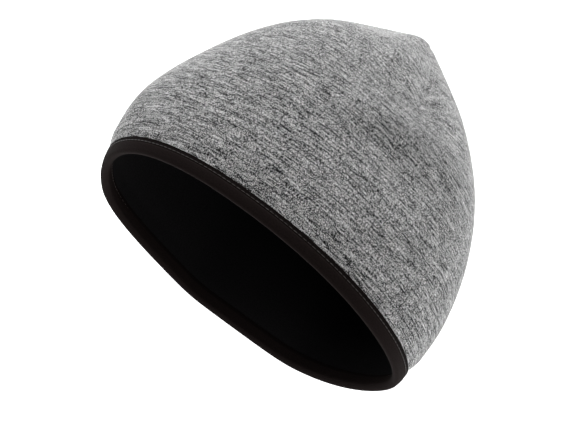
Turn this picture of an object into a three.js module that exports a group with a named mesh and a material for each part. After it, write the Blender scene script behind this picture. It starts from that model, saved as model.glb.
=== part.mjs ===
// Reversible beanie: a marl jersey shell, a dark lining inside it and a dark band bound over both rims.
// Millimetres, +Z up. The hat lies on its side, with its opening towards -Y and its peak towards +Y.
// Angles run around the hat from its back (+X, 0 degrees) over its upper side (90) to its front (180).
import * as THREE from 'three';

// Cloth
const SHELL_WALL = 1.2;
const LINING_WALL = 1.0;
const BAND_WALL = 1.0;
const LAYER_GAP = 0.3;
const BAND_WIDTH = 7.5;
const LIP_DEPTH = 2.15;
const LIP_LEAN = 0.35;
const SEAM_PULL = LAYER_GAP + BAND_WALL;
const SEAM_PULL_FADES_AT = 0.1;

// Where the hat lies on the floor
const AXIS_HEIGHT = 68;
const REST_ALONG = 55;
const FLOOR_SOFTNESS = 4;
const PEAK_SHIFT = 4;

// How far the rim's outline stands out from an ellipse halfway between its axes, as a share of its reach
const FULLNESS = { top: 0.03, front: -0.048, back: -0.03 };
const FULLNESS_FADES_AT = 0.6;

// Where the rim's edge is drawn in towards the peak, a row for each stretch of it
const DRAWN_IN = table(
  ['around', 'spread', 'depth'],
  [
    [238, 50, 3.3],
    [108, 58, 2.6],
    [349, 33, 5.8],
  ],
);
const DRAWN_IN_FADES_AT = 0.3;

// Mesh density
const DIVISIONS = 56;
const BAND_ROWS = 3;
const BODY_ROWS = 16;

function table(columns, rows) {
  return rows.map((row) => Object.fromEntries(columns.map((name, i) => [name, row[i]])));
}

// One row for each section of the hat, from its rim to its peak: the share of the way, the distance
// along the hat's axis, and how far the cloth stands off the axis at the front, back, top and underside
const SECTIONS = table(
  ['share', 'along', 'front', 'back', 'top', 'under'],
  [
    [0.00, 0.0, 91.0, 114.5, 88.0, 73.5],
    [0.10, 20.5, 100.0, 116.0, 88.0, 75.0],
    [0.25, 51.0, 105.5, 113.5, 87.5, 76.5],
    [0.42, 86.0, 98.0, 103.0, 83.5, 73.0],
    [0.58, 119.0, 84.0, 85.0, 73.5, 62.5],
    [0.72, 148.0, 62.5, 59.5, 57.5, 49.0],
    [0.84, 170.5, 35.5, 31.0, 36.5, 31.5],
    [0.93, 184.0, 14.5, 10.5, 18.0, 16.0],
    [1.00, 191.0, 0.0, 0.0, 0.0, 0.0],
  ],
);

// One row for each fold, dent and dart: where its middle is, how far it reaches around the hat and along
// it, how much its share grows with each degree around, and its depth, below 0 for a dent
const FOLDS = table(
  ['name', 'around', 'share', 'reach_around', 'reach_along', 'slant', 'depth'],
  [
    ['dart_end_dimple', 60, 0.37, 22, 0.090, 0, -3.6],
    ['ridge_over_the_dimple', 60, 0.475, 25, 0.050, -0.0019, 2.9],
    ['back_dart', 59, 0.72, 5, 0.200, 0, -0.9],
    ['front_dart', 108, 0.80, 14, 0.080, 0, -2.2],
    ['front_swell', 136, 0.64, 26, 0.130, 0, 1.4],
    ['peak_swell', 80, 0.90, 36, 0.060, 0, 2.2],
  ],
);

const EDGE = 1e-4;
const PROBE = 1e-3;

function radians(degrees) {
  return (degrees * Math.PI) / 180;
}

function smooth(x) {
  const t = Math.min(Math.max(x, 0), 1);
  return t * t * (3 - 2 * t);
}

// Degrees from one angle to another, between -180 and 180
function turn(angle, degrees) {
  const full = 2 * Math.PI;
  const raw = angle - radians(degrees) + Math.PI;
  return ((raw - full * Math.floor(raw / full) - Math.PI) * 180) / Math.PI;
}

// A column of the section table at any share, as a smooth curve through its rows.
// Past the peak the widths turn over to the other side and the distance along the axis comes back.
function column(name, share) {
  const last = SECTIONS.length - 1;
  let i = 0;
  while (i < last - 1 && share >= SECTIONS[i + 1].share) i += 1;
  const mirrored = name === 'along' ? 1 : -1;
  const first = SECTIONS[0];
  const second = SECTIONS[1];
  const beforePeak = SECTIONS[last - 1];
  const row = (k) => {
    if (k < 0) return { at: 2 * first.share - second.share, value: 2 * first[name] - second[name] };
    if (k > last) return { at: 2 - beforePeak.share, value: mirrored * beforePeak[name] };
    return { at: SECTIONS[k].share, value: SECTIONS[k][name] };
  };
  const [a, b, c, d] = [row(i - 1), row(i), row(i + 1), row(i + 2)];
  const span = c.at - b.at;
  const t = (share - b.at) / span;
  const leave = ((c.value - a.value) / (c.at - a.at)) * span;
  const arrive = ((d.value - b.value) / (d.at - b.at)) * span;
  return (
    (2 * t ** 3 - 3 * t ** 2 + 1) * b.value +
    (t ** 3 - 2 * t ** 2 + t) * leave +
    (3 * t ** 2 - 2 * t ** 3) * c.value +
    (t ** 3 - t ** 2) * arrive
  );
}

// Share at which the band ends on the cloth
function bandShare() {
  let share = 0;
  while (column('along', share) < BAND_WIDTH) share += 0.0005;
  return share;
}

const BAND_END = bandShare();

// Height after the floor has pushed the cloth up, with a soft bend into the flat patch
function pressed(height) {
  if (height > FLOOR_SOFTNESS) return height;
  if (height < -FLOOR_SOFTNESS) return 0;
  return (height + FLOOR_SOFTNESS) ** 2 / (4 * FLOOR_SOFTNESS);
}

// How far the rim's edge is drawn in at an angle
function drawnIn(angle) {
  return DRAWN_IN.reduce(
    (sum, { around, spread, depth }) => sum + depth * Math.exp(-((turn(angle, around) / spread) ** 2)),
    0,
  );
}

// The shell's outer skin, without its folds
function skin(share, angle) {
  const across = Math.cos(angle);
  const up = Math.sin(angle);
  const side = up > 0 ? 'top' : across > 0 ? 'back' : 'front';
  const fullness = FULLNESS[side] * smooth(1 - share / FULLNESS_FADES_AT);
  const reach = 1 + fullness * (2 * across * up) ** 2;
  const width = column(across > 0 ? 'back' : 'front', share);
  const height = column(up > 0 ? 'top' : 'under', share);
  return new THREE.Vector3(
    PEAK_SHIFT * share ** 1.5 + width * across * reach,
    column('along', share) - REST_ALONG + drawnIn(angle) * smooth(1 - share / DRAWN_IN_FADES_AT),
    pressed(AXIS_HEIGHT + height * up * reach),
  );
}

// How far the folds move the cloth outwards
function folded(share, angle) {
  return FOLDS.reduce((sum, fold) => {
    const around = turn(angle, fold.around);
    const along = share - fold.share - fold.slant * around;
    const fade = (around / fold.reach_around) ** 2 + (along / fold.reach_along) ** 2;
    return sum + fold.depth * Math.exp(-fade);
  }, 0);
}

// How far the binding draws the cloth in, so that the band lies flush with the shell above it
function pulled(share) {
  return SEAM_PULL * smooth((SEAM_PULL_FADES_AT - share) / (SEAM_PULL_FADES_AT - BAND_END));
}

// A point of the cloth, a distance outwards from the shell's outer skin. Folds fade out at the floor.
function cloth(share, angle, outwards) {
  const s = Math.min(share, 1 - EDGE);
  const point = skin(s, angle);
  const around = skin(s, angle + PROBE).sub(skin(s, angle - PROBE));
  const along = skin(Math.min(s + PROBE, 1), angle).sub(skin(Math.max(s - PROBE, 0), angle));
  const normal = along.cross(around).normalize();
  const free = smooth(1 + normal.z);
  return point.addScaledVector(normal, outwards + folded(s, angle) * free - pulled(s));
}

// The cloth's way out of the hat at its rim
function rimwards(angle) {
  return skin(0, angle).sub(skin(2 * PROBE, angle)).normalize();
}

const ANGLES = Array.from({ length: DIVISIONS }, (_, i) => (2 * Math.PI * i) / DIVISIONS);

const ROWS = [
  ...Array.from({ length: BAND_ROWS }, (_, i) => (BAND_END * i) / BAND_ROWS),
  ...Array.from({ length: BODY_ROWS }, (_, i) => {
    const t = i / BODY_ROWS;
    return BAND_END + (1 - BAND_END) * (1 - (1 - t) ** 1.25);
  }),
];

// A closed surface from rings of points, each ring the same length. The rings follow each other so that
// the faces point outwards, and every face is split along the same diagonal of the cloth on both of its
// skins, so that thin layers stay parallel. Caps close the first and last ring; without them the ends join.
function ringSurface(rings, caps) {
  const count = DIVISIONS;
  const positions = rings.flatMap(({ points }) => points.flatMap((p) => [p.x, p.y, p.z]));
  const index = [];
  const strips = caps.length ? rings.length - 1 : rings.length;
  for (let r = 0; r < strips; r += 1) {
    const after = (r + 1) % rings.length;
    const here = r * count;
    const next = after * count;
    const towardsPeak = rings[after].share > rings[r].share;
    for (let i = 0; i < count; i += 1) {
      const j = (i + 1) % count;
      if (towardsPeak) index.push(here + i, next + j, here + j, here + i, next + i, next + j);
      else index.push(here + i, next + i, here + j, here + j, next + i, next + j);
    }
  }
  caps.forEach(({ ringIndex, point, inwards }) => {
    const tip = positions.length / 3;
    positions.push(point.x, point.y, point.z);
    for (let i = 0; i < count; i += 1) {
      const a = ringIndex * count + i;
      const b = ringIndex * count + ((i + 1) % count);
      index.push(...(inwards ? [a, b, tip] : [b, a, tip]));
    }
  });
  const geometry = new THREE.BufferGeometry();
  geometry.setAttribute('position', new THREE.Float32BufferAttribute(positions, 3));
  geometry.setIndex(index);
  geometry.computeVertexNormals();
  return geometry;
}

function ring(share, outwards) {
  return { share, points: ANGLES.map((angle) => cloth(share, angle, outwards)) };
}

function peak(outwards) {
  const { points } = ring(1, outwards);
  return points.reduce((total, p) => total.add(p), new THREE.Vector3()).divideScalar(points.length);
}

// A cup of cloth between two distances from the shell's outer skin, open at the rim
function cup(outer, inner) {
  const inside = [...ROWS].reverse().map((share) => ring(share, inner));
  const outside = ROWS.map((share) => ring(share, outer));
  const rings = [...inside, ...outside];
  return ringSurface(rings, [
    { ringIndex: 0, point: peak(inner), inwards: true },
    { ringIndex: rings.length - 1, point: peak(outer), inwards: false },
  ]);
}

// The folded strip over both rims: around the lip, along the outer arm and back, then the inner arm.
// The lip is half an ellipse that leans towards its outer face.
function binding(outer, inner) {
  const arm = [...ROWS.slice(0, BAND_ROWS), BAND_END];
  const armBack = [...arm].reverse();
  const middle = (outer + inner) / 2;
  const radius = (outer - inner) / 2;
  const past = (outwards, distance) => ({
    share: 0,
    points: ANGLES.map((angle) => cloth(0, angle, outwards).addScaledVector(rimwards(angle), distance)),
  });
  const lip = [150, 125, 100, 75, 50, 25].map((degrees) => {
    const across = Math.cos(radians(degrees));
    const depth = LIP_DEPTH * Math.sin(radians(degrees)) * (1 + LIP_LEAN * across);
    return past(middle + radius * across, depth);
  });
  return ringSurface(
    [
      ...lip,
      ...arm.map((share) => ring(share, outer)),
      ...armBack.map((share) => ring(share, outer - BAND_WALL)),
      past(outer - BAND_WALL, LAYER_GAP),
      past(inner + BAND_WALL, LAYER_GAP),
      ...arm.map((share) => ring(share, inner + BAND_WALL)),
      ...armBack.map((share) => ring(share, inner)),
    ],
    [],
  );
}

function piece(name, geometry, look) {
  const mesh = new THREE.Mesh(geometry, new THREE.MeshStandardMaterial(look));
  mesh.name = name;
  return mesh;
}

const liningOuter = -(SHELL_WALL + LAYER_GAP);
const liningInner = liningOuter - LINING_WALL;
const armReach = LAYER_GAP + BAND_WALL;

const marlJersey = { color: '#8a8a8a', roughness: 0.95, metalness: 0 };
const darkLining = { color: '#0b0a0a', roughness: 0.95, metalness: 0 };
const darkBand = { color: '#1d1918', roughness: 0.9, metalness: 0 };

const beanie = new THREE.Group();
beanie.name = 'reversible_beanie';
beanie.add(
  piece('shell', cup(0, -SHELL_WALL), marlJersey),
  piece('lining', cup(liningOuter, liningInner), darkLining),
  piece('rim_band', binding(armReach, liningInner - armReach), darkBand),
);

export default beanie;
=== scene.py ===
"""Reversible beanie on a pale studio floor: marl jersey shell, dark lining and a band bound over both rims.

The hat lies on its side with its opening towards -Y and its peak towards +Y. Angles run around the hat from
its back (+X, 0 degrees) over its upper side (90) to its front (180); a share runs from the rim (0) to the
peak (1). Shapes are worked out in millimetres and meshes are made in metres.
"""

import bpy
import numpy as np
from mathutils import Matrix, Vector


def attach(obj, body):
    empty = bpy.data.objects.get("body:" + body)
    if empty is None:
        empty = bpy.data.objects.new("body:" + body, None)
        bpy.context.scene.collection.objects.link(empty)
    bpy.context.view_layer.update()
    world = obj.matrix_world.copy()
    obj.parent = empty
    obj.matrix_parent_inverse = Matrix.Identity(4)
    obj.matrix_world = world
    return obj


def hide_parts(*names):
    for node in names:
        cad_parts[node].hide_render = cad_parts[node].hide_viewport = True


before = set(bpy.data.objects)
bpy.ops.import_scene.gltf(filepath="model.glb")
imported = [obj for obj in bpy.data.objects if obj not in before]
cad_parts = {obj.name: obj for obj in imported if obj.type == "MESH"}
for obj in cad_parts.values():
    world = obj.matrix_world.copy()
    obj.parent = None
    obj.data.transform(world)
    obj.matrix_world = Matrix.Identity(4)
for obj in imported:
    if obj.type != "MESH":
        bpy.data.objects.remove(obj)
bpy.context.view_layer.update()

bl_info = {
    "name": "Reversible beanie",
    "version": (1, 0, 0),
    "blender": (4, 5, 0),
    "location": "View3D > Sidebar > Beanie",
    "description": "Builds a reversible jersey beanie, its bound band and a studio around it",
    "category": "Add Mesh",
}

MM = 0.001
BODY = "root"

# The hat's sections, a row for each: share of the way from rim to peak, distance along the hat's axis, and
# how far the cloth stands off the axis at the front, back, top and underside
SECTION_COLUMNS = ("share", "along", "front", "back", "top", "under")
SECTIONS = np.array([
    (0.00, 0.0, 91.0, 114.5, 88.0, 73.5),
    (0.10, 20.5, 100.0, 116.0, 88.0, 75.0),
    (0.25, 51.0, 105.5, 113.5, 87.5, 76.5),
    (0.42, 86.0, 98.0, 103.0, 83.5, 73.0),
    (0.58, 119.0, 84.0, 85.0, 73.5, 62.5),
    (0.72, 148.0, 62.5, 59.5, 57.5, 49.0),
    (0.84, 170.5, 35.5, 31.0, 36.5, 31.5),
    (0.93, 184.0, 14.5, 10.5, 18.0, 16.0),
    (1.00, 191.0, 0.0, 0.0, 0.0, 0.0),
])

# The folds, dents and darts, a row for each: middle around the hat and along it, reach around and along,
# growth of its share with each degree around, and depth, below 0 for a dent
FOLDS = np.array(
    [
        ("dart_end_dimple", 60, 0.37, 22, 0.090, 0, -3.6),
        ("ridge_over_the_dimple", 60, 0.475, 25, 0.050, -0.0019, 2.9),
        ("back_dart", 59, 0.72, 5, 0.200, 0, -0.9),
        ("front_dart", 108, 0.80, 14, 0.080, 0, -2.2),
        ("front_swell", 136, 0.64, 26, 0.130, 0, 1.4),
        ("peak_swell", 80, 0.90, 36, 0.060, 0, 2.2),
    ],
    dtype=[
        ("name", "U32"), ("around", float), ("share", float), ("reach_around", float),
        ("reach_along", float), ("slant", float), ("depth", float),
    ],
)

# Height of the hat's axis over the floor, distance along it from the rim to the origin, the height below
# which the floor bends the cloth, and how far the peak leans to the back, by this power of the share
AXIS_HEIGHT = 68.0
REST_ALONG = 55.0
FLOOR_SOFTNESS = 4.0
PEAK_SHIFT = 4.0
PEAK_SHIFT_POWER = 1.5

# How far the rim stands out from an ellipse halfway between its axes, as a share of its reach, fading out by
# this share of the way
FULLNESS_TOP = 0.03
FULLNESS_FRONT = -0.048
FULLNESS_BACK = -0.03
FULLNESS_FADES_AT = 0.6

# Where the rim's edge is drawn in towards the peak, a row for each stretch: its middle around the hat, its
# spread and its depth. This fades out by a share of the way.
DRAWN_IN = ((238.0, 50.0, 3.3), (108.0, 58.0, 2.6), (349.0, 33.0, 5.8))
DRAWN_IN_FADES_AT = 0.3

# The binding draws the cloth in, out to this share of the way. Its lip leans towards its outer face, and its
# rings are at these angles, from its inner face over to its outer one.
SEAM_PULL_FADES_AT = 0.1
LIP_LEAN = 0.35
LIP_ANGLES = np.radians(np.arange(165, 0, -15))

# Relief of the band's face: a groove this far below the thread, a flattened strip that begins this far below
# the thread and fades over this distance, and a soft roll from the thread to the lip
GROOVE_DEPTH = 0.5
GROOVE_BELOW = 0.8
GROOVE_REACH = 0.4
STRIP_DEPTH = 0.25
STRIP_BELOW = 0.6
STRIP_FADE = 0.9
ROLL_HEIGHT = 0.2

# The band's upper edge is rounded: its face ends at a distance from the edge, and then come two rows, each at
# its distance from the edge and standing back by this much. The face and the back have these many rows.
FACE_END = 0.45
ROUNDED_AT = np.array([0.12, 0.0])
ROUNDED_BACK = np.array([0.3, 0.5])
FACE_ROWS = 30
BACK_ROWS = 5

# The crown is closed by four darts, with a flat-cut panel between each two. The knit's map is cut open at the
# dart that lies lowest at the front. The darts begin at one share of the way and are full at another.
DART_ANGLES = np.array([60.0, 150.0, 240.0, 330.0])
PANEL_MIDDLES = np.array([15.0, 105.0, 195.0, 285.0])
MAP_CUT = 240.0
DARTS_START = 0.44
DARTS_FULL = 0.60

# Across a dart: reach of the groove along its seam, and the swell on either side of it, with its height as a
# share of the groove's depth, its distance from the seam and its reach
SEAM_REACH = 0.8
SWELL_SHARE = 0.45
SWELL_AT = 2.2
SWELL_REACH = 1.3

# Columns and rows of the fine cloth surfaces. The columns crowd together at the darts by this share, and the
# rows at the peak by this power.
AROUND = 264
BODY_ROWS = 150
BAND_ROWS = 10
DART_CROWDING = 0.6
PEAK_CROWDING = 1.15

# A topstitch: rings along its thread and points around each, height of its arch and how deep its ends sink,
# in radii of the thread, and the radius of its ends as a share of the thread's
STITCH_RINGS = 7
THREAD_SIDES = 8
ARCH_HEIGHT = 1.6
ARCH_SUNK = 1.3
THREAD_END = 0.45

# Fine steps that a curve is measured in, the share up to which it is measured near the rim, a small step for
# slopes, the least distance that another is divided by, and how far before the peak slopes are taken
FINE_STEPS = 2001
NEAR_RIM = 0.2
PROBE = 1e-3
LEAST = 1e-3
EDGE = 1e-4

# How much each of the marl's patterns adds to its mix of dark and light fibres, and the mix where each of
# them is at its middle. A power gives the mix its contrast.
FLECK_SHARE = 3.4
STREAK_SHARE = 5.0
FUZZ_SHARE = 0.3
DRIFT_SHARE = 0.45
MARL_MIDDLE = 0.3
MARL_BALANCE = MARL_MIDDLE - (FLECK_SHARE + STREAK_SHARE + FUZZ_SHARE + DRIFT_SHARE) / 2
MARL_CONTRAST = 2.0

# Painted sheen at the cloth's turning edges, for the light its pale hairs catch: how much it lightens the
# colour, and the power that keeps it narrow
PAINTED_SHEEN_SHARE = 0.5
PAINTED_SHEEN_POWER = 9.0

# Sizes of the marl's patterns: rows wander by this many loops over this length, the legs of a loop lean by
# this many rows for each loop, a loop is this many plies wide, and the streaks of one row are this far from
# those of the next in their noise
WANDER_LENGTH = 20 * MM
WANDER_LOOPS = 1.2
LEG_LEAN = 1.2
PLIES = 4.0
STREAK_LENGTH = 11 * MM
STREAK_STEP = 1.73
FUZZ_SPACING = 0.4 * MM
DRIFT_LENGTH = 28 * MM
DRIFT_WIDTH = 3 * MM

# Along and across the cloth, the grain of the lining and of the band, then the spacing of the band's ribs
# and the length of the thread's twist
LINING_GRAIN = (1.1 * MM, 0.8 * MM)
BAND_GRAIN = (0.9 * MM, 0.7 * MM)
RIB_SPACING = 0.8 * MM
THREAD_TWIST = 0.5 * MM

# Height of the jersey's ridges and of its hairs beside the slope of its legs, and of the band's ribs beside
# its grain
RIDGE_RELIEF = 0.3
HAIR_RELIEF = 0.8
RIB_RELIEF = 0.3

# Distances from the topstitching, away from the band's upper edge, between which the band's colour goes from
# # darker, towards its upper edge, to its full tone
DARKER_STRIP_SPAN = (-0.5 * MM, 0.2 * MM)

# How far the table reaches each way in metres, past what the pictures show, and the width of the camera's
# sensor in millimetres
TABLE_REACH = 8.0
SENSOR_WIDTH = 36.0

# The softboxes, a row for each: name, the stage's value for its power, place, width and height
SOFTBOXES = (
    ("back softbox", "back_power", (-0.35, 1.4, 0.52), 1.4, 0.6),
    ("brow softbox", "brow_power", (-1.0, 0.1, 1.1), 0.9, 0.7),
    ("side softbox", "side_power", (1.2, -0.45, 0.85), 0.7, 0.7),
)


def linear(hex_colour):
    """Linear RGB of an sRGB hex colour."""
    value = np.array([int(hex_colour[i:i + 2], 16) for i in (1, 3, 5)]) / 255
    return tuple(np.where(value <= 0.04045, value / 12.92, ((value + 0.055) / 1.055) ** 2.4).tolist())


class BeanieSizes(bpy.types.PropertyGroup):
    """Sizes of the cloth, its layers, its knit and its stitches."""

    shell_wall: bpy.props.FloatProperty(
        name="Shell wall", description="Thickness of the marl jersey", default=1.2 * MM, unit="LENGTH")
    lining_wall: bpy.props.FloatProperty(
        name="Lining wall", description="Thickness of the lining", default=1.0 * MM, unit="LENGTH")
    band_wall: bpy.props.FloatProperty(
        name="Band wall", description="Thickness of the folded binding", default=1.0 * MM, unit="LENGTH")
    layer_gap: bpy.props.FloatProperty(
        name="Layer gap", description="Air between two layers of cloth", default=0.3 * MM, unit="LENGTH")
    band_width: bpy.props.FloatProperty(
        name="Band width", description="Width of the band on each face", default=7.5 * MM, unit="LENGTH")
    lip_depth: bpy.props.FloatProperty(
        name="Lip depth", description="How far the folded lip stands past the cloth's edge",
        default=2.15 * MM, unit="LENGTH")
    dart_depth: bpy.props.FloatProperty(
        name="Dart depth", description="How far a dart's seam sinks into the jersey",
        default=0.45 * MM, unit="LENGTH")
    course: bpy.props.FloatProperty(
        name="Course spacing", description="Distance between two rows of knit loops",
        default=0.5 * MM, unit="LENGTH")
    wale: bpy.props.FloatProperty(
        name="Wale spacing", description="Distance between two columns of knit loops",
        default=0.8 * MM, unit="LENGTH")
    stitch_pitch: bpy.props.FloatProperty(
        name="Stitch pitch", description="Distance from one topstitch to the next",
        default=3.1 * MM, unit="LENGTH")
    stitch_length: bpy.props.FloatProperty(
        name="Stitch length", description="Length of thread that shows in each topstitch",
        default=2.9 * MM, unit="LENGTH")
    stitch_from_edge: bpy.props.FloatProperty(
        name="Stitch from edge", description="Distance of the topstitching from the band's upper edge",
        default=2.4 * MM, unit="LENGTH")
    thread: bpy.props.FloatProperty(
        name="Thread", description="Thickness of the sewing thread", default=0.42 * MM, unit="LENGTH")


class BeanieColours(bpy.types.PropertyGroup):
    """Colours of the cloths, the thread and the floor."""

    marl_light: bpy.props.FloatVectorProperty(
        name="Marl light", description="Undyed fibres of the marl yarn", subtype="COLOR",
        default=linear("#f2f2f2"))
    marl_dark: bpy.props.FloatVectorProperty(
        name="Marl dark", description="Dyed fibres of the marl yarn", subtype="COLOR",
        default=linear("#1a1a1b"))
    band: bpy.props.FloatVectorProperty(
        name="Band", description="Brownish black binding", subtype="COLOR", default=linear("#1d1716"))
    lining: bpy.props.FloatVectorProperty(
        name="Lining", description="Near-black brushed lining", subtype="COLOR", default=linear("#1c1b1c"))
    thread: bpy.props.FloatVectorProperty(
        name="Thread", description="Dark sewing thread", subtype="COLOR", default=linear("#38312f"))
    floor: bpy.props.FloatVectorProperty(
        name="Floor", description="Pale studio floor", subtype="COLOR", default=linear("#d2d2d2"))


class BeanieStage(bpy.types.PropertyGroup):
    """Camera and lights."""

    azimuth: bpy.props.FloatProperty(
        name="Azimuth", description="Camera's turn around the hat; 0 looks along +Y",
        default=np.radians(37.0), subtype="ANGLE")
    elevation: bpy.props.FloatProperty(
        name="Elevation", description="Camera's angle above the floor", default=np.radians(60.0),
        subtype="ANGLE")
    distance: bpy.props.FloatProperty(
        name="Distance", description="From the camera to its target", default=0.9, unit="LENGTH")
    lens: bpy.props.FloatProperty(name="Lens", description="Focal length in millimetres", default=100.0)
    target: bpy.props.FloatVectorProperty(
        name="Target", description="Point in the middle of the picture", default=(0.0042, -0.0052, 0.068),
        subtype="TRANSLATION", unit="LENGTH")
    back_power: bpy.props.FloatProperty(
        name="Back light", description="Power of the softbox behind the crown", default=21.0)
    brow_power: bpy.props.FloatProperty(
        name="Brow light", description="Power of the softbox above the hat's brow", default=9.0)
    side_power: bpy.props.FloatProperty(
        name="Side light", description="Power of the softbox beside the back of the head", default=6.0)
    walls: bpy.props.FloatProperty(
        name="Walls", description="Brightness of the room's white walls", default=0.12)
    ceiling: bpy.props.FloatProperty(
        name="Ceiling", description="Brightness of the room's dim ceiling", default=0.02)
    table_glow: bpy.props.FloatProperty(
        name="Table glow", description="Light that comes up through the table", default=1.35)


def smooth(x):
    """Smooth step: 0 below 0, 1 above 1, and 3x squared less 2x cubed between."""
    x = np.clip(x, 0, 1)
    return x * x * (3 - 2 * x)


def turn(angle, degrees):
    """Degrees from one angle to another, between -180 and 180."""
    return np.degrees((angle - np.radians(degrees) + np.pi) % (2 * np.pi) - np.pi)


def offsets(angle, places):
    """Degrees, without sign, between an angle and each of some places around the hat."""
    return np.abs(np.stack([turn(angle, place) for place in places]))


def column(name, share):
    """A column of the section table at any share: a cubic through its rows whose slope at each row is that of
    the chord between its neighbours. Past the peak the widths turn over and the distance comes back."""
    shares = SECTIONS[:, 0]
    values = SECTIONS[:, SECTION_COLUMNS.index(name)]
    beyond = values[-2] if name == "along" else -values[-2]
    at = np.r_[2 * shares[0] - shares[1], shares, 2 - shares[-2]]
    value = np.r_[2 * values[0] - values[1], values, beyond]
    i = np.clip(np.searchsorted(shares, share, side="right"), 1, len(shares) - 1)
    span = at[i + 1] - at[i]
    t = (share - at[i]) / span
    leave = (value[i + 1] - value[i - 1]) / (at[i + 1] - at[i - 1]) * span
    arrive = (value[i + 2] - value[i]) / (at[i + 2] - at[i]) * span
    return (
        (2 * t ** 3 - 3 * t ** 2 + 1) * value[i]
        + (t ** 3 - 2 * t ** 2 + t) * leave
        + (3 * t ** 2 - 2 * t ** 3) * value[i + 1]
        + (t ** 3 - t ** 2) * arrive
    )


def share_at(distance):
    """The share at a distance along the hat's axis from its rim, near the rim."""
    shares = np.linspace(0, NEAR_RIM, FINE_STEPS)
    return np.interp(distance, column("along", shares), shares)


def skin(share, angle):
    """The shell's outer skin without its folds: at each share an ellipse with its own reach to the front,
    back, top and underside, fuller or flatter between its axes, and pressed up by the floor where it would
    sink in."""
    across = np.cos(angle)
    up = np.sin(angle)
    side = np.where(up > 0, FULLNESS_TOP, np.where(across > 0, FULLNESS_BACK, FULLNESS_FRONT))
    reach = 1 + side * smooth(1 - share / FULLNESS_FADES_AT) * (2 * across * up) ** 2
    width = np.where(across > 0, column("back", share), column("front", share))
    height = np.where(up > 0, column("top", share), column("under", share))
    drawn = sum(depth * np.exp(-(turn(angle, around) / spread) ** 2) for around, spread, depth in DRAWN_IN)
    free = AXIS_HEIGHT + height * up * reach
    bent = (free + FLOOR_SOFTNESS) ** 2 / (4 * FLOOR_SOFTNESS)
    return np.stack(np.broadcast_arrays(
        PEAK_SHIFT * share ** PEAK_SHIFT_POWER + width * across * reach,
        column("along", share) - REST_ALONG + drawn * smooth(1 - share / DRAWN_IN_FADES_AT),
        np.where(free > FLOOR_SOFTNESS, free, np.where(free < -FLOOR_SOFTNESS, 0, bent)),
    ), axis=-1)


def folded(share, angle):
    """How far the folds move the cloth outwards: the sum of a bell curve for each row of the fold table."""
    total = 0
    for fold in FOLDS:
        around = turn(angle, fold["around"])
        along = share - fold["share"] - fold["slant"] * around
        fade = (around / fold["reach_around"]) ** 2 + (along / fold["reach_along"]) ** 2
        total = total + fold["depth"] * np.exp(-fade)
    return total


def normals(share, angle):
    """The skin's outward normals: its step along the hat crossed with its step around."""
    s = np.minimum(share, 1 - EDGE)
    along = skin(np.minimum(s + PROBE, 1), angle) - skin(np.maximum(s - PROBE, 0), angle)
    around = skin(s, angle + PROBE) - skin(s, angle - PROBE)
    normal = np.cross(along, around)
    return normal / np.linalg.norm(normal, axis=-1, keepdims=True)


def cloth(share, angle, outwards):
    """A point of the cloth: the skin moved along its normal by a distance, the folds, which fade out on the
    floor, and the pull of the binding, which is full up to the band's edge and then fades out."""
    sizes = bpy.context.scene.beanie_sizes
    pull = (sizes.layer_gap + sizes.band_wall) / MM
    edge = share_at(sizes.band_width / MM)
    s = np.minimum(share, 1 - EDGE)
    normal = normals(s, angle)
    free = smooth(1 + normal[..., 2])
    drawn = pull * smooth((SEAM_PULL_FADES_AT - s) / (SEAM_PULL_FADES_AT - edge))
    move = outwards + folded(s, angle) * free - drawn
    return skin(s, angle) + normal * move[..., None]


def rimwards(angle):
    """The cloth's way out of the hat at its rim, of length 1."""
    way = skin(np.zeros_like(angle), angle) - skin(np.full_like(angle, 2 * PROBE), angle)
    return way / np.linalg.norm(way, axis=-1, keepdims=True)


def dart_groove(share, angle, depth):
    """How far the seams of the darts sink into a face of the cloth: a narrow bell curve across each seam,
    with a low swell on either side where the cloth is turned under, fading in along the seam."""
    offset = offsets(angle, DART_ANGLES).min(axis=0)
    across = np.radians(offset) * (column("top", share) + column("back", share)) / 2
    groove = np.exp(-(across / SEAM_REACH) ** 2)
    swell = SWELL_SHARE * np.exp(-((across - SWELL_AT) / SWELL_REACH) ** 2)
    return -depth * (groove - swell) * smooth((share - DARTS_START) / (DARTS_FULL - DARTS_START))


def crowded_angles():
    """Angles of the columns around the hat, once around from the map's cut. They crowd together at the darts:
    an even turn, less a sine wave with one period between two darts."""
    even = np.arange(AROUND + 1) * 2 * np.pi / AROUND
    darts = len(DART_ANGLES)
    return np.radians(MAP_CUT) + even - DART_CROWDING / darts * np.sin(darts * even)


def lengths(points, axis):
    """Length along a grid's rows or columns, from 0 at its first point."""
    steps = np.linalg.norm(np.diff(points, axis=axis), axis=-1)
    start = np.zeros_like(np.take(steps, [0], axis=axis))
    return np.concatenate([start, np.cumsum(steps, axis=axis)], axis=axis)


def knit_maps(points, angle):
    """Where each point of an outer grid, rows from rim to peak by columns around, lies on the flat knit: once
    for the side wall and once for each panel of the crown.

    On the side wall u is the way around the widest row and v the way up from the rim. On the crown each panel
    is a flat piece: with rho the way down from the peak and psi the way around from the panel's middle over
    rho, u is rho times sine psi and v falls by rho times cosine psi. Its rows of loops therefore run straight
    up to the peak, and meet those of the next panel at an angle along the dart."""
    around = lengths(points, 1)
    up = lengths(points, 0)
    rho = up[-1] - up
    widest = around[np.argmax(around[:, -1])]
    panels = []
    for middle in PANEL_MIDDLES:
        k = np.abs(turn(angle, middle)).argmin()
        psi = (around - around[:, k:k + 1]) / np.maximum(rho, LEAST)
        panels.append(np.stack([widest[k] + rho * np.sin(psi), up[-1, k] - rho * np.cos(psi)], axis=-1))
    return np.stack([np.broadcast_to(widest, up.shape), up], axis=-1), np.array(panels)


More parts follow.
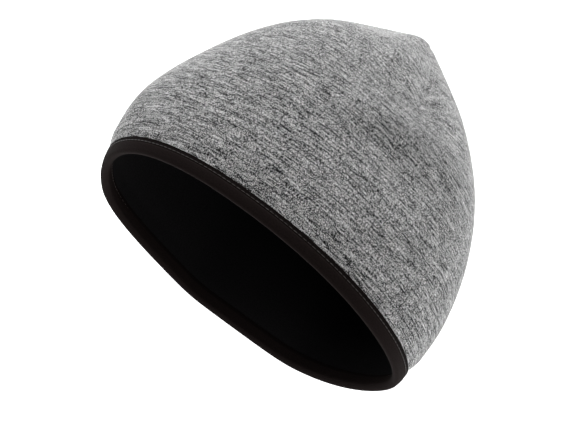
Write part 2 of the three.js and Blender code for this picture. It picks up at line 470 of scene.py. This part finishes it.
def new_piece(name, points, faces, material, node=None):
    """A smooth mesh object in place with its material, from points in millimetres. It rides on the hat, and
    hides the CAD node that it stands in for, if one is given."""
    mesh = bpy.data.meshes.new(name)
    mesh.from_pydata((points * MM).tolist(), [], faces)
    mesh.polygons.foreach_set("use_smooth", np.ones(len(mesh.polygons), bool))
    mesh.materials.append(material)
    piece = bpy.data.objects.new(name, mesh)
    bpy.context.scene.collection.objects.link(piece)
    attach(piece, BODY)
    if node:
        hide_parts(node)
    return piece


def write_uv(piece, name, values):
    """A UV map in metres, from an array in millimetres with a row for each face corner."""
    layer = piece.data.uv_layers.new(name=name)
    layer.uv.foreach_set("vector", np.ascontiguousarray(values * MM, np.float32).ravel())


def cells(rows, columns):
    """Rows and columns of the four corners of each cell of a grid, in order around the cell."""
    r, c = (a.ravel() for a in np.mgrid[0:rows, 0:columns])
    return np.stack([r, r + 1, r + 1, r], axis=1), np.stack([c, c, c + 1, c + 1], axis=1)


def cup(name, node, outer, inner, groove_outside, groove_inside, material):
    """A cup of cloth between two distances from the skin: a grid of rings from the peak down the inner face
    and, past the rim, up the outer face to the peak, closed by a pole at either end. Both faces carry the
    flat knit's map, which turns from the side wall's to the panels' where the darts fade in."""
    edge = share_at(bpy.context.scene.beanie_sizes.band_width / MM)
    on_band = np.linspace(0, edge, BAND_ROWS, endpoint=False)
    above = 1 - (1 - np.linspace(0, 1, BODY_ROWS)) ** PEAK_CROWDING
    shares = np.r_[on_band, edge + (1 - edge) * above]
    share = shares[:, None]
    angle = crowded_angles()
    face_out = cloth(share, angle, outer + dart_groove(share, angle, groove_outside))
    face_in = cloth(share, angle, inner - dart_groove(share, angle, groove_inside))
    face_out[-1] = face_out[-1, :-1].mean(axis=0)
    face_in[-1] = face_in[-1, :-1].mean(axis=0)
    wall, panels = knit_maps(face_out, angle)

    last = len(shares) - 1
    rows = np.r_[np.arange(last)[::-1], np.arange(last)]
    points = np.concatenate([face_in[last - 1::-1, :-1], face_out[:last, :-1]]).reshape(-1, 3)
    points = np.concatenate([points, face_in[-1, :1], face_out[-1, :1]])
    pole_in, pole_out = len(points) - 2, len(points) - 1

    ring, step = cells(len(rows) - 1, AROUND)
    quads = ring * AROUND + step % AROUND
    c = np.arange(AROUND)
    top = (len(rows) - 1) * AROUND
    fan_in = np.stack([c, (c + 1) % AROUND, np.full(AROUND, pole_in)], axis=1)
    fan_out = np.stack([top + (c + 1) % AROUND, top + c, np.full(AROUND, pole_out)], axis=1)

    fan_rows = np.tile([last - 1, last - 1, last], AROUND)
    corner_row = np.concatenate([rows[ring].ravel(), fan_rows, fan_rows])
    fan_in_step = np.stack([c, c + 1, c], axis=1)
    fan_out_step = np.stack([c + 1, c, c], axis=1)
    corner_step = np.concatenate([step.ravel(), fan_in_step.ravel(), fan_out_step.ravel()])
    face_step = np.concatenate([np.repeat(step[:, 0], 4), np.repeat(c, 3), np.repeat(c, 3)])
    face_angle = (angle[face_step] + angle[face_step + 1]) / 2
    panel = offsets(face_angle, PANEL_MIDDLES).argmin(axis=0)
    crown = smooth((shares[corner_row] - DARTS_START) / (DARTS_FULL - DARTS_START))[:, None]
    knit = wall[corner_row, corner_step] * (1 - crown) + panels[panel, corner_row, corner_step] * crown

    piece = new_piece(name, points, quads.tolist() + fan_in.tolist() + fan_out.tolist(), material, node)
    write_uv(piece, "knit", knit)
    return piece


def rings_piece(name, node, rings, from_edge, material):
    """A ring-shaped piece: a closed profile of points carried around the hat, in a grid of profile by angle
    that closes on itself both ways. Its map holds the way along the ring and each profile point's distance
    from its arm's upper edge."""
    count, around = rings.shape[0], rings.shape[1] - 1
    ring, step = cells(count, around)
    quads = (ring % count) * around + step % around
    piece = new_piece(name, rings[:, :-1].reshape(-1, 3), quads.tolist(), material, node)
    along = lengths(rings, 1).mean(axis=0)
    write_uv(piece, "strip", np.stack([along[step], from_edge[ring % count]], axis=-1).reshape(-1, 2))
    return piece


def lining_faces():
    """Distances of the lining's outer and inner face from the skin."""
    sizes = bpy.context.scene.beanie_sizes
    outer = -(sizes.shell_wall + sizes.layer_gap) / MM
    return outer, outer - sizes.lining_wall / MM


def band_faces():
    """Distances of the band's outer and inner face from the skin, with the cloth's pull taken off."""
    sizes = bpy.context.scene.beanie_sizes
    arm = (sizes.layer_gap + sizes.band_wall) / MM
    return arm, lining_faces()[1] - arm


def band_relief(from_edge):
    """How far the band's face stands out or sinks in, by its distance from the upper edge: a strip flattened
    by the topstitching, a groove below the thread where it pulls the cloth in, and a soft roll to the lip."""
    sizes = bpy.context.scene.beanie_sizes
    line = sizes.stitch_from_edge / MM
    width = sizes.band_width / MM
    groove = GROOVE_DEPTH * np.exp(-((from_edge - line - GROOVE_BELOW) / GROOVE_REACH) ** 2)
    strip = STRIP_DEPTH * smooth((line + STRIP_BELOW - from_edge) / STRIP_FADE)
    roll = ROLL_HEIGHT * np.sin(np.pi * np.clip((from_edge - line) / (width - line), 0, 1))
    return roll - groove - strip


def off_floor(share, angle):
    """1 where the cloth is free, falling to 0 where it lies on the floor."""
    return smooth(1 + normals(share, angle)[..., 2])


def band_rings(angle):
    """Rings of the binding's profile, and the distance of each from its arm's upper edge: over the lip on a
    half-ellipse that leans outwards, up the outer arm with its relief, over its rounded edge, back down
    behind it, round the cloth's edge, and the same the other way inside. The floor flattens its relief."""
    sizes = bpy.context.scene.beanie_sizes
    outer, inner = band_faces()
    wall = sizes.band_wall / MM
    gap = sizes.layer_gap / MM
    width = sizes.band_width / MM

    def arm(from_edge, face, relief=0.0):
        """Rings of an arm's face, at distances from the arm's upper edge and from the skin."""
        share = share_at(width - from_edge)[:, None]
        face, relief = (np.broadcast_to(value, from_edge.shape)[:, None] for value in (face, relief))
        return cloth(share, angle, face + relief * off_floor(share, angle))

    def past(face, distance):
        """Rings past the cloth's edge, at distances from the skin and from the edge."""
        edge = cloth(np.zeros((len(face), 1)), angle, np.asarray(face)[:, None])
        return edge + rimwards(angle) * np.asarray(distance)[:, None, None]

    middle, radius = (outer + inner) / 2, (outer - inner) / 2
    depth = sizes.lip_depth / MM * np.sin(LIP_ANGLES) * (1 + LIP_LEAN * np.cos(LIP_ANGLES))
    up = np.linspace(width, FACE_END, FACE_ROWS)
    back = np.linspace(0, width, BACK_ROWS)
    rings = np.concatenate([
        past(middle + radius * np.cos(LIP_ANGLES), depth),
        arm(up, outer, band_relief(up)),
        arm(ROUNDED_AT, outer - ROUNDED_BACK),
        arm(back, outer - wall),
        past([outer - wall, inner + wall], [gap, gap]),
        arm(back[::-1], inner + wall),
        arm(ROUNDED_AT[::-1], inner + ROUNDED_BACK[::-1]),
        arm(up[::-1], inner, -band_relief(up[::-1])),
    ])
    lip = width + radius * np.minimum(LIP_ANGLES, np.pi - LIP_ANGLES)
    outer_arm = np.concatenate([up, ROUNDED_AT, back])
    return rings, np.concatenate([lip, outer_arm, [width + gap] * 2, outer_arm[::-1]])


def stitch_row(name, share, outwards, relief, facing, material):
    """A row of topstitches around the hat, on a face of the band that looks out (1) or in (-1). Each is a
    thread that comes up out of the cloth, runs along its face and dives back in: a circle carried along the
    stitch, whose height over the cloth follows the square root of a parabola and whose radius shrinks at both
    ends. The floor presses the thread into the cloth."""
    sizes = bpy.context.scene.beanie_sizes
    dense = np.linspace(0, 2 * np.pi, FINE_STEPS)
    way = lengths(cloth(np.full((1, 1), share), dense, np.full((1, 1), outwards)), 1)[0]
    count = int(round(way[-1] / (sizes.stitch_pitch / MM)))
    stations = np.linspace(0, 1, STITCH_RINGS)
    starts = np.arange(count)[:, None] * way[-1] / count
    angle = np.interp((starts + stations * sizes.stitch_length / MM) % way[-1], way, dense)
    at_share = np.full_like(angle, share)
    at_depth = np.full_like(angle, outwards)
    centre = cloth(at_share, angle, at_depth)
    up = normals(at_share, angle)
    ahead = cloth(at_share, angle + PROBE, at_depth) - centre
    ahead /= np.linalg.norm(ahead, axis=-1, keepdims=True)
    side = np.cross(up, ahead)
    radius = sizes.thread / MM / 2
    arch = np.sqrt(4 * stations * (1 - stations))
    free = off_floor(at_share, angle)
    lift = facing * (radius * (ARCH_HEIGHT * arch - ARCH_SUNK) + relief * free - 2 * radius * (1 - free))
    thick = radius * (THREAD_END + (1 - THREAD_END) * arch)
    sides = THREAD_SIDES
    turns = np.arange(sides)[:, None] * 2 * np.pi / sides
    ring = side[:, :, None] * np.cos(turns) + up[:, :, None] * np.sin(turns)
    points = (centre + up * lift[..., None])[:, :, None] + ring * thick[:, None, None]
    k, s, c = (a.ravel() for a in np.mgrid[0:count, 0:STITCH_RINGS - 1, 0:sides])
    here = (k * STITCH_RINGS + s) * sides
    after = (c + 1) % sides
    quads = np.stack([here + c, here + after, here + sides + after, here + sides + c], axis=1)
    start = np.arange(count)[:, None] * STITCH_RINGS * sides
    end = start + (STITCH_RINGS - 1) * sides
    caps = np.concatenate([start + np.arange(sides)[::-1], end + np.arange(sides)])
    return new_piece(name, points.reshape(-1, 3), quads.tolist() + caps.tolist(), material)


def add_node(tree, kind, inputs=None, **settings):
    """A shader node with its settings, and a value or a link for each input given by name or place."""
    node = tree.nodes.new(kind)
    for name, value in settings.items():
        setattr(node, name, value)
    for socket, value in (inputs or {}).items():
        if isinstance(value, bpy.types.NodeSocket):
            tree.links.new(value, node.inputs[socket])
        else:
            node.inputs[socket].default_value = value
    return node


def new_material(name):
    """An empty node material and its tree."""
    material = bpy.data.materials.new(name)
    material.use_nodes = True
    material.node_tree.nodes.clear()
    return material, material.node_tree


def marl_merino_jersey():
    """Single jersey in marl merino yarn, soft and matt. Dyed and undyed fibres are spun together, so each row
    of loops has its own flecks and streaks of light and dark. Its colour is painted lighter at its turning
    edges, where it faces away from the camera, as a sheen for the light its short hairs catch there."""
    sizes = bpy.context.scene.beanie_sizes
    colours = bpy.context.scene.beanie_colours
    material, tree = new_material("marl merino jersey")
    knit = add_node(tree, "ShaderNodeUVMap", uv_map="knit").outputs[0]

    # Loops are counted across and along the knit, and their rows wander by about half a loop either way. The
    # two legs of each loop lean together, so a column of loops looks like a plait.
    loops = add_node(
        tree, "ShaderNodeMapping", {"Vector": knit, "Scale": (1 / sizes.wale, 1 / sizes.course, 1)})
    loop = add_node(tree, "ShaderNodeSeparateXYZ", {0: loops.outputs[0]})
    wander = add_node(tree, "ShaderNodeTexNoise", {"Vector": knit, "Scale": 1 / WANDER_LENGTH, "Detail": 1.0})
    row = add_node(
        tree, "ShaderNodeMath", {0: wander.outputs[0], 1: WANDER_LOOPS, 2: loop.outputs["Y"]},
        operation="MULTIPLY_ADD")
    across = add_node(tree, "ShaderNodeMath", {0: loop.outputs["X"], 1: 0.5}, operation="PINGPONG")
    lean = add_node(
        tree, "ShaderNodeMath", {0: across.outputs[0], 1: LEG_LEAN, 2: row.outputs[0]},
        operation="MULTIPLY_ADD")
    leg_row = add_node(tree, "ShaderNodeMath", {0: lean.outputs[0]}, operation="FLOOR")
    plies = add_node(tree, "ShaderNodeMath", {0: loop.outputs["X"], 1: PLIES}, operation="MULTIPLY")
    ply = add_node(tree, "ShaderNodeMath", {0: plies.outputs[0]}, operation="FLOOR")

    # Flecks: each leg is spun of two plies, and each ply shows its own mix of light and dark fibres
    fleck_at = add_node(tree, "ShaderNodeCombineXYZ", {"X": ply.outputs[0], "Y": leg_row.outputs[0]})
    fleck = add_node(tree, "ShaderNodeTexWhiteNoise", {"Vector": fleck_at.outputs[0]})

    # Streaks: fibres run 6 to 15 mm along one row of loops and stop at its edge
    whole_row = add_node(tree, "ShaderNodeMath", {0: row.outputs[0]}, operation="FLOOR")
    streak_at = add_node(tree, "ShaderNodeCombineXYZ", {"X": loop.outputs["X"], "Y": whole_row.outputs[0]})
    streak_scaled = add_node(
        tree, "ShaderNodeMapping",
        {"Vector": streak_at.outputs[0], "Scale": (sizes.wale / STREAK_LENGTH, STREAK_STEP, 1)})
    streak = add_node(
        tree, "ShaderNodeTexNoise",
        {"Vector": streak_scaled.outputs[0], "Scale": 1.0, "Detail": 1.0, "Roughness": 0.5})

    # Fuzz: short loose hairs
    fuzz = add_node(tree, "ShaderNodeTexNoise", {"Vector": knit, "Scale": 1 / FUZZ_SPACING, "Detail": 1.0})

    # Drift: the yarn's mix changes over many rows, in long bands with finer ones in them
    drift_at = add_node(
        tree, "ShaderNodeMapping", {"Vector": knit, "Scale": (1 / DRIFT_LENGTH, 1 / DRIFT_WIDTH, 1)})
    drift = add_node(
        tree, "ShaderNodeTexNoise",
        {"Vector": drift_at.outputs[0], "Scale": 1.0, "Detail": 2.0, "Roughness": 0.45})

    # Each pattern's share is added in turn, and the whole is kept between 0 and 1
    mix = MARL_BALANCE
    patterns = ((fleck, FLECK_SHARE), (streak, STREAK_SHARE), (fuzz, FUZZ_SHARE), (drift, DRIFT_SHARE))
    for pattern, share in patterns:
        sum_so_far = add_node(
            tree, "ShaderNodeMath", {0: pattern.outputs[0], 1: share, 2: mix}, operation="MULTIPLY_ADD")
        mix = sum_so_far.outputs[0]
    sum_so_far.use_clamp = True
    shade = add_node(tree, "ShaderNodeMath", {0: mix, 1: MARL_CONTRAST}, operation="POWER")

    # Painted sheen: where the cloth turns away from the camera, its colour is painted lighter, for the light
    # its pale short hairs catch there
    away = add_node(tree, "ShaderNodeLayerWeight", {"Blend": 0.5}).outputs["Facing"]
    painted_sheen = add_node(tree, "ShaderNodeMath", {0: away, 1: PAINTED_SHEEN_POWER}, operation="POWER")
    lightness = add_node(
        tree, "ShaderNodeMath", {0: painted_sheen.outputs[0], 1: PAINTED_SHEEN_SHARE, 2: shade.outputs[0]},
        operation="MULTIPLY_ADD", use_clamp=True)
    colour = add_node(
        tree, "ShaderNodeMix",
        {0: lightness.outputs[0], 6: (*colours.marl_dark, 1), 7: (*colours.marl_light, 1)}, data_type="RGBA")

    # Knit face: each leg is a rounded ridge
    turns = add_node(tree, "ShaderNodeMath", {0: lean.outputs[0], 1: 2 * np.pi}, operation="MULTIPLY")
    ridge = add_node(tree, "ShaderNodeMath", {0: turns.outputs[0]}, operation="SINE")
    plait = add_node(
        tree, "ShaderNodeMath", {0: ridge.outputs[0], 1: RIDGE_RELIEF, 2: across.outputs[0]},
        operation="MULTIPLY_ADD")
    height = add_node(
        tree, "ShaderNodeMath", {0: fuzz.outputs[0], 1: HAIR_RELIEF, 2: plait.outputs[0]},
        operation="MULTIPLY_ADD")
    bump = add_node(
        tree, "ShaderNodeBump", {"Height": height.outputs[0], "Strength": 0.8, "Distance": 0.3 * MM})

    shader = add_node(
        tree, "ShaderNodeBsdfPrincipled",
        {"Base Color": colour.outputs[2], "Roughness": 0.9, "IOR": 1.5, "Specular IOR Level": 0.15,
         "Sheen Weight": 0.12, "Sheen Roughness": 0.2, "Normal": bump.outputs[0]})
    add_node(tree, "ShaderNodeOutputMaterial", {0: shader.outputs[0]})
    return material


def brushed_lining_jersey():
    """Fine near-black jersey, brushed on its face: it swallows light and shows only a faint grain."""
    colours = bpy.context.scene.beanie_colours
    material, tree = new_material("brushed lining jersey")
    knit = add_node(tree, "ShaderNodeUVMap", uv_map="knit").outputs[0]
    grain_at = add_node(
        tree, "ShaderNodeMapping", {"Vector": knit, "Scale": (1 / LINING_GRAIN[0], 1 / LINING_GRAIN[1], 1)})
    grain = add_node(
        tree, "ShaderNodeTexNoise",
        {"Vector": grain_at.outputs[0], "Scale": 1.0, "Detail": 2.0, "Roughness": 0.6})
    shade = add_node(
        tree, "ShaderNodeMapRange",
        {"Value": grain.outputs[0], "From Min": 0.25, "From Max": 0.75, "To Min": 0.55, "To Max": 1.5})
    colour = add_node(
        tree, "ShaderNodeVectorMath", {0: colours.lining, "Scale": shade.outputs[0]}, operation="SCALE")
    bump = add_node(
        tree, "ShaderNodeBump", {"Height": grain.outputs[0], "Strength": 0.5, "Distance": 0.2 * MM})
    shader = add_node(
        tree, "ShaderNodeBsdfPrincipled",
        {"Base Color": colour.outputs[0], "Roughness": 0.95, "IOR": 1.5, "Specular IOR Level": 0.1,
         "Normal": bump.outputs[0]})
    add_node(tree, "ShaderNodeOutputMaterial", {0: shader.outputs[0]})
    return material


def stretch_binding():
    """Brownish black elastic knit tape, folded over the rims: fine ribs run across it, and its smooth yarn
    gives it a faint soft gloss. Its colour is darker above the topstitching, towards its upper edge."""
    sizes = bpy.context.scene.beanie_sizes
    colours = bpy.context.scene.beanie_colours
    material, tree = new_material("stretch binding")
    strip = add_node(tree, "ShaderNodeUVMap", uv_map="strip").outputs[0]
    place = add_node(tree, "ShaderNodeSeparateXYZ", {0: strip})
    rib_turns = add_node(
        tree, "ShaderNodeMath", {0: place.outputs["X"], 1: 2 * np.pi / RIB_SPACING}, operation="MULTIPLY")
    rib = add_node(tree, "ShaderNodeMath", {0: rib_turns.outputs[0]}, operation="SINE")
    grain_at = add_node(
        tree, "ShaderNodeMapping", {"Vector": strip, "Scale": (1 / BAND_GRAIN[0], 1 / BAND_GRAIN[1], 1)})
    grain = add_node(
        tree, "ShaderNodeTexNoise",
        {"Vector": grain_at.outputs[0], "Scale": 1.0, "Detail": 2.0, "Roughness": 0.6})
    shade = add_node(
        tree, "ShaderNodeMapRange",
        {"Value": grain.outputs[0], "From Min": 0.25, "From Max": 0.75, "To Min": 0.7, "To Max": 1.35})
    # The colour is darker above the topstitching, towards the band's upper edge
    darker_strip = add_node(
        tree, "ShaderNodeMapRange",
        {"Value": place.outputs["Y"], "From Min": sizes.stitch_from_edge + DARKER_STRIP_SPAN[0],
         "From Max": sizes.stitch_from_edge + DARKER_STRIP_SPAN[1], "To Min": 0.55, "To Max": 1.0})
    depth = add_node(
        tree, "ShaderNodeMath", {0: shade.outputs[0], 1: darker_strip.outputs[0]}, operation="MULTIPLY")
    colour = add_node(
        tree, "ShaderNodeVectorMath", {0: colours.band, "Scale": depth.outputs[0]}, operation="SCALE")
    height = add_node(
        tree, "ShaderNodeMath", {0: rib.outputs[0], 1: RIB_RELIEF, 2: grain.outputs[0]},
        operation="MULTIPLY_ADD")
    bump = add_node(
        tree, "ShaderNodeBump", {"Height": height.outputs[0], "Strength": 0.5, "Distance": 0.2 * MM})
    shader = add_node(
        tree, "ShaderNodeBsdfPrincipled",
        {"Base Color": colour.outputs[0], "Roughness": 0.85, "IOR": 1.5, "Specular IOR Level": 0.04,
         "Normal": bump.outputs[0]})
    add_node(tree, "ShaderNodeOutputMaterial", {0: shader.outputs[0]})
    return material


def spun_polyester_thread():
    """Dark spun polyester sewing thread: a little smoother and paler than the band, so each stitch shows as a
    fine lighter dash."""
    colours = bpy.context.scene.beanie_colours
    material, tree = new_material("spun polyester thread")
    place = add_node(tree, "ShaderNodeTexCoord").outputs["Object"]
    twist = add_node(tree, "ShaderNodeTexNoise", {"Vector": place, "Scale": 1 / THREAD_TWIST, "Detail": 1.0})
    bump = add_node(
        tree, "ShaderNodeBump", {"Height": twist.outputs[0], "Strength": 0.4, "Distance": 0.1 * MM})
    shader = add_node(
        tree, "ShaderNodeBsdfPrincipled",
        {"Base Color": (*colours.thread, 1), "Roughness": 0.5, "IOR": 1.55, "Normal": bump.outputs[0]})
    add_node(tree, "ShaderNodeOutputMaterial", {0: shader.outputs[0]})
    return material


def opal_acrylic_table():
    """Matt opal acrylic, lit from below as a photographer's table is: a plain white ground whose shadows stay
    faint."""
    colours = bpy.context.scene.beanie_colours
    stage = bpy.context.scene.beanie_stage
    material, tree = new_material("opal acrylic table")
    shader = add_node(
        tree, "ShaderNodeBsdfPrincipled",
        {"Base Color": (*colours.floor, 1), "Roughness": 0.9, "IOR": 1.49, "Specular IOR Level": 0.1,
         "Emission Color": (1, 1, 1, 1), "Emission Strength": stage.table_glow})
    add_node(tree, "ShaderNodeOutputMaterial", {0: shader.outputs[0]})
    return material


class BEANIE_OT_shell(bpy.types.Operator):
    """Marl jersey shell with its folds and darts"""

    bl_idname = "beanie.shell"
    bl_label = "Jersey shell"

    def execute(self, context):
        sizes = context.scene.beanie_sizes
        shell = cup(
            "jersey_shell", "shell", 0.0, -sizes.shell_wall / MM, sizes.dart_depth / MM, 0.0,
            marl_merino_jersey())
        return {"FINISHED"}


class BEANIE_OT_lining(bpy.types.Operator):
    """Dark lining inside the shell"""

    bl_idname = "beanie.lining"
    bl_label = "Lining"

    def execute(self, context):
        sizes = context.scene.beanie_sizes
        outer, inner = lining_faces()
        lining = cup(
            "lining_jersey", "lining", outer, inner, 0.0, sizes.dart_depth / MM,
            brushed_lining_jersey())
        return {"FINISHED"}


class BEANIE_OT_band(bpy.types.Operator):
    """Dark band folded over both rims, with its topstitching"""

    bl_idname = "beanie.band"
    bl_label = "Band and topstitching"

    def execute(self, context):
        sizes = context.scene.beanie_sizes
        outer, inner = band_faces()
        rings, from_edge = band_rings(crowded_angles())
        band = rings_piece("bound_band", "rim_band", rings, from_edge, stretch_binding())
        line = float(share_at((sizes.band_width - sizes.stitch_from_edge) / MM))
        relief = float(band_relief(sizes.stitch_from_edge / MM))
        thread = spun_polyester_thread()
        outside = stitch_row("topstitching_outside", line, outer, relief, 1, thread)
        inside = stitch_row("topstitching_inside", line, inner, relief, -1, thread)
        return {"FINISHED"}


class BEANIE_OT_stage(bpy.types.Operator):
    """Pale floor, soft studio lights and the camera"""

    bl_idname = "beanie.stage"
    bl_label = "Floor, lights and camera"

    def execute(self, context):
        scene = context.scene
        stage = scene.beanie_stage
        target = Vector(stage.target)

        corners = [(x * TABLE_REACH, y * TABLE_REACH, 0) for x, y in ((-1, -1), (1, -1), (1, 1), (-1, 1))]
        mesh = bpy.data.meshes.new("studio_floor")
        mesh.from_pydata(corners, [], [[0, 1, 2, 3]])
        mesh.materials.append(opal_acrylic_table())
        floor = bpy.data.objects.new("studio_floor", mesh)
        scene.collection.objects.link(floor)

        for name, power, place, across, tall in SOFTBOXES:
            lamp = bpy.data.lights.new(name, "AREA")
            lamp.shape = "RECTANGLE"
            lamp.size = across
            lamp.size_y = tall
            lamp.energy = getattr(stage, power)
            light = bpy.data.objects.new(name, lamp)
            light.location = place
            light.rotation_euler = (target - Vector(place)).to_track_quat("-Z", "Y").to_euler()
            scene.collection.objects.link(light)

        # The room's pale walls give way to its dim ceiling as the eye looks up
        room = bpy.data.worlds.new("white room")
        room.use_nodes = True
        room.node_tree.nodes.clear()
        way = add_node(room.node_tree, "ShaderNodeTexCoord").outputs["Generated"]
        height = add_node(room.node_tree, "ShaderNodeSeparateXYZ", {0: way}).outputs["Z"]
        brightness = add_node(
            room.node_tree, "ShaderNodeMapRange",
            {"Value": height, "From Min": 0.2, "From Max": 0.9,
             "To Min": stage.walls, "To Max": stage.ceiling})
        glow = add_node(
            room.node_tree, "ShaderNodeBackground",
            {"Color": (1, 1, 1, 1), "Strength": brightness.outputs[0]})
        add_node(room.node_tree, "ShaderNodeOutputWorld", {0: glow.outputs[0]})
        scene.world = room
        scene.view_settings.view_transform = "Standard"

        camera_data = bpy.data.cameras.new("studio camera")
        camera_data.lens = stage.lens
        camera_data.sensor_width = SENSOR_WIDTH
        camera = bpy.data.objects.new("studio camera", camera_data)
        flat = np.cos(stage.elevation)
        back = Vector((
            np.sin(stage.azimuth) * flat, -np.cos(stage.azimuth) * flat, np.sin(stage.elevation)))
        camera.location = target + back * stage.distance
        camera.rotation_euler = (-back).to_track_quat("-Z", "Y").to_euler()
        scene.collection.objects.link(camera)
        scene.camera = camera
        return {"FINISHED"}


OPERATORS = (BEANIE_OT_shell, BEANIE_OT_lining, BEANIE_OT_band, BEANIE_OT_stage)
GROUPS = (
    ("beanie_sizes", BeanieSizes),
    ("beanie_colours", BeanieColours),
    ("beanie_stage", BeanieStage),
)


class BEANIE_PT_panel(bpy.types.Panel):
    """Lists the beanie's pieces, sizes, colours and stage in the 3D view's sidebar"""

    bl_label = "Reversible beanie"
    bl_idname = "BEANIE_PT_panel"
    bl_space_type = "VIEW_3D"
    bl_region_type = "UI"
    bl_category = "Beanie"

    def draw(self, context):
        for maker in OPERATORS:
            self.layout.operator(maker.bl_idname)
        for name, group in GROUPS:
            box = self.layout.box()
            for value in group.__annotations__:
                box.prop(getattr(context.scene, name), value)


def register():
    """Registers the properties, the operators and the panel."""
    for name, group in GROUPS:
        bpy.utils.register_class(group)
        setattr(bpy.types.Scene, name, bpy.props.PointerProperty(type=group))
    for item in (*OPERATORS, BEANIE_PT_panel):
        bpy.utils.register_class(item)


def unregister():
    """Takes back what register added."""
    for item in (BEANIE_PT_panel, *reversed(OPERATORS)):
        bpy.utils.unregister_class(item)
    for name, group in reversed(GROUPS):
        delattr(bpy.types.Scene, name)
        bpy.utils.unregister_class(group)


def main():
    """Registers the add-on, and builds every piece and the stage."""
    register()
    bpy.ops.beanie.shell()
    bpy.ops.beanie.lining()
    bpy.ops.beanie.band()
    bpy.ops.beanie.stage()


if __name__ == "__main__":
    main()
